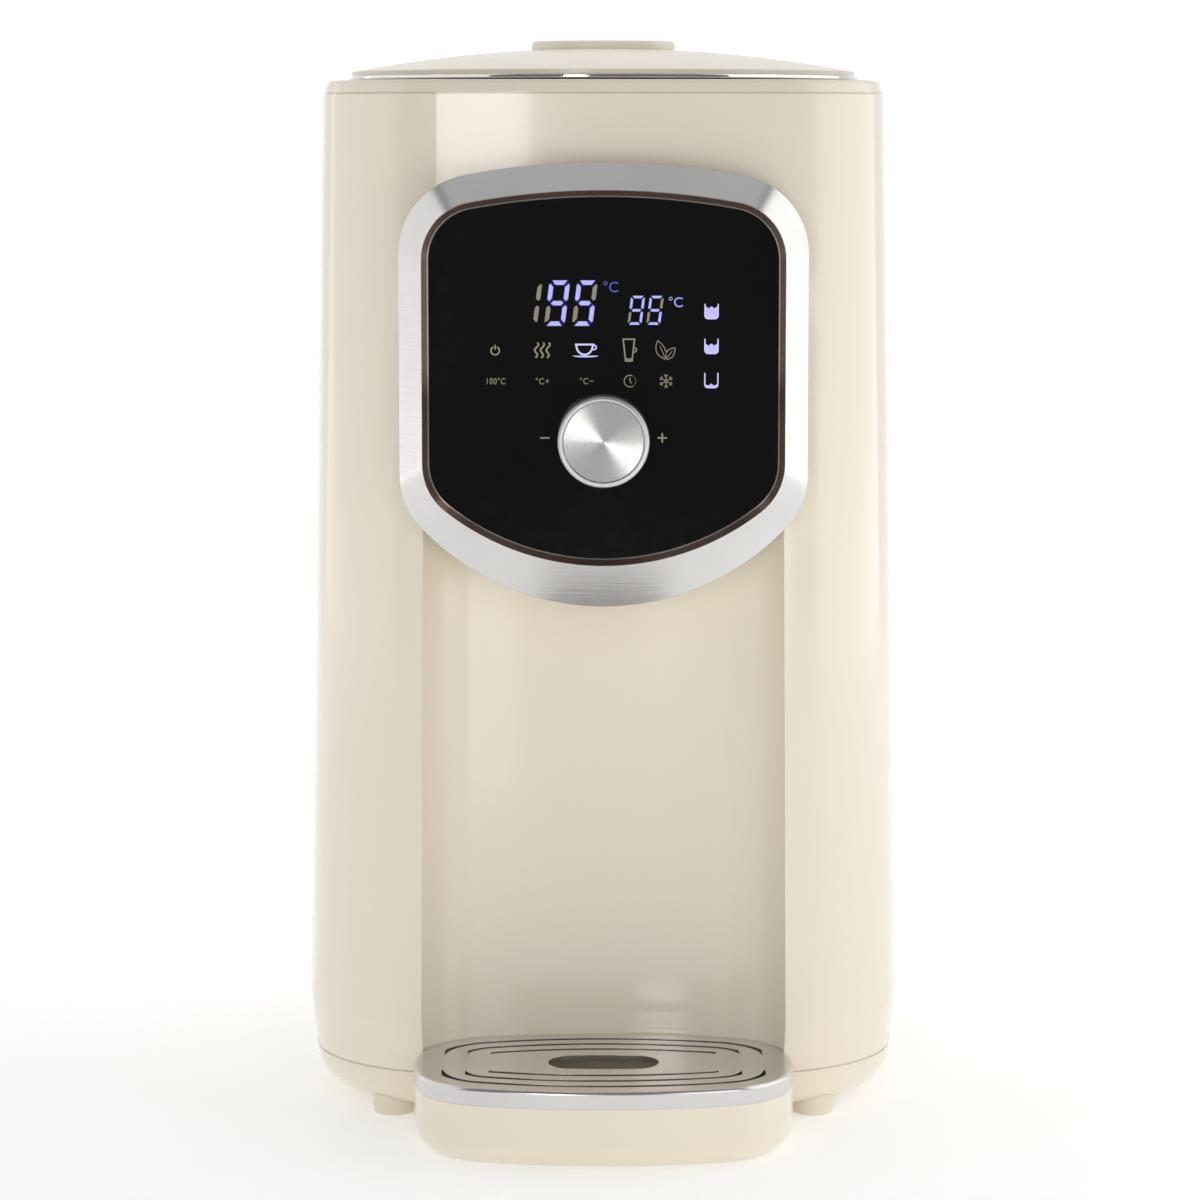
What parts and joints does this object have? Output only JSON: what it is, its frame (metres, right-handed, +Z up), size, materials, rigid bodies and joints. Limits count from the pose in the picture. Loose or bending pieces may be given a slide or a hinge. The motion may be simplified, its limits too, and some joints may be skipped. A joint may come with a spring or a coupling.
{
  "type": "hot water dispenser",
  "caption": "Rounded square counter-top hot water dispenser with a framed front panel and knob, a cup alcove, a drip tray and a hinged round lid.",
  "frame": {"origin": "on the table under the middle of the whole, the drip tray included", "axes": "+Z up, the front with the panel and the drip tray faces -Y, +X to the right seen from the front"},
  "size_m": [0.216, 0.27, 0.3765],
  "materials": {
    "cream_shell": "satin moulded cream",
    "cream_feet": "soft cream",
    "grip_beige": "satin grey-beige",
    "bezel_metal": "satin plated",
    "trim_chrome": "polished",
    "brushed_metal": "radially brushed",
    "tray_metal": "satin plated",
    "panel_black": "polished smoked black",
    "dark_plastic": "fine grain",
    "white_plastic": "smooth",
    "steel_tank": "drawn and brushed",
    "steel_small": "plain",
    "pin_brass": "plain",
    "heater_aluminium": "cast",
    "cutout_black": "moulded",
    "seal_rubber": "soft translucent",
    "foam_grey": "foamed",
    "board_green": "printed board",
    "component_black": "moulded"
  },
  "bodies": {
    "housing": {"outer_shell": "cream_shell", "base_shell": "cream_shell", "top_collar": "cream_shell", "feet": "cream_feet", "bezel": "bezel_metal", "panel_glass": "panel_black", "panel_carrier": "dark_plastic", "inlet_socket": "dark_plastic", "fan_frame": "dark_plastic", "pump_housing": "dark_plastic", "spout_nozzle": "dark_plastic", "encoder": "dark_plastic", "support_ring": "white_plastic", "tank": "steel_tank", "tank_clamp": "steel_tank", "base_screws": "steel_small", "collar_screws": "steel_small", "support_screws": "steel_small", "panel_screws": "steel_small", "fan_screws": "steel_small", "board_screws": "steel_small", "lid_hinge_pin": "steel_small", "temperature_probe": "steel_small", "pump_motor": "steel_small", "inlet_pins": "pin_brass", "heater_plate": "heater_aluminium", "thermal_cutout": "cutout_black", "tank_gasket": "seal_rubber", "spout_seal": "seal_rubber", "outlet_hose": "seal_rubber", "pump_inlet_sleeve": "seal_rubber", "hose_couplers": "seal_rubber", "insulation_sleeve": "foam_grey", "display_board": "board_green", "power_board": "board_green", "level_sensor": "board_green", "board_components": "component_black", "display_module": "component_black"},
    "lid": {"lid_cover": "cream_shell", "lid_trim_ring": "trim_chrome", "lid_pan": "white_plastic", "lid_seal": "seal_rubber", "lid_screws": "steel_small", "steam_valve": "white_plastic", "button_springs": "steel_small"},
    "lid_button_body": {"lid_button": "grip_beige"},
    "latch": {"latch_bolt": "white_plastic"},
    "knob_stem": {"knob_shaft": "steel_small"},
    "knob": {"knob_body": "trim_chrome", "knob_face": "brushed_metal"},
    "impeller": {"pump_impeller": "white_plastic"},
    "fan": {"fan_rotor": "dark_plastic"},
    "tray": {"tray_bowl": "cream_shell"},
    "tray_cover_body": {"tray_cover": "tray_metal"}
  },
  "joints": [
    {"name": "lid_hinge", "type": "hinge", "parent": "housing", "child": "lid", "pos_m": [0, 0.122, 0.364], "axis": [-1, 0, 0], "range_deg": [0, 100]},
    {"name": "lid_button_press", "type": "slide", "parent": "lid", "child": "lid_button_body", "axis": [0, 0, -1], "range_m": [0, 0.0025], "stiffness_N_per_m": 600, "springref_m": -0.001, "deforming": ["button_springs"]},
    {"name": "latch_slide", "type": "slide", "parent": "lid", "child": "latch", "axis": [0, 1, 0], "range_m": [0, 0.0025]},
    {"name": "knob_press", "type": "slide", "parent": "housing", "child": "knob_stem", "axis": [0, 1, 0], "range_m": [0, 0.001], "stiffness_N_per_m": 1500, "springref_m": -0.0005},
    {"name": "knob_spin", "type": "hinge", "parent": "knob_stem", "child": "knob", "pos_m": [0, -0.0935, 0.2409], "axis": [0, -1, 0], "continuous": true},
    {"name": "tray_slide", "type": "slide", "parent": "housing", "child": "tray", "axis": [0, -1, 0], "range_m": [0, 0.09]},
    {"name": "tray_cover_lift", "type": "slide", "parent": "tray", "child": "tray_cover_body", "axis": [0, 0, 1], "range_m": [0, 0.03]},
    {"name": "pump_spin", "type": "hinge", "parent": "housing", "child": "impeller", "pos_m": [-0.034, 0.012, 0.034], "axis": [0, 0, 1], "continuous": true},
    {"name": "fan_spin", "type": "hinge", "parent": "housing", "child": "fan", "pos_m": [-0.0987, 0.027, 0.076], "axis": [1, 0, 0], "continuous": true}
  ],
  "couplings": [
    {"joint": "latch_slide", "follows": "lid_button_press", "ratio": 1}
  ]
}
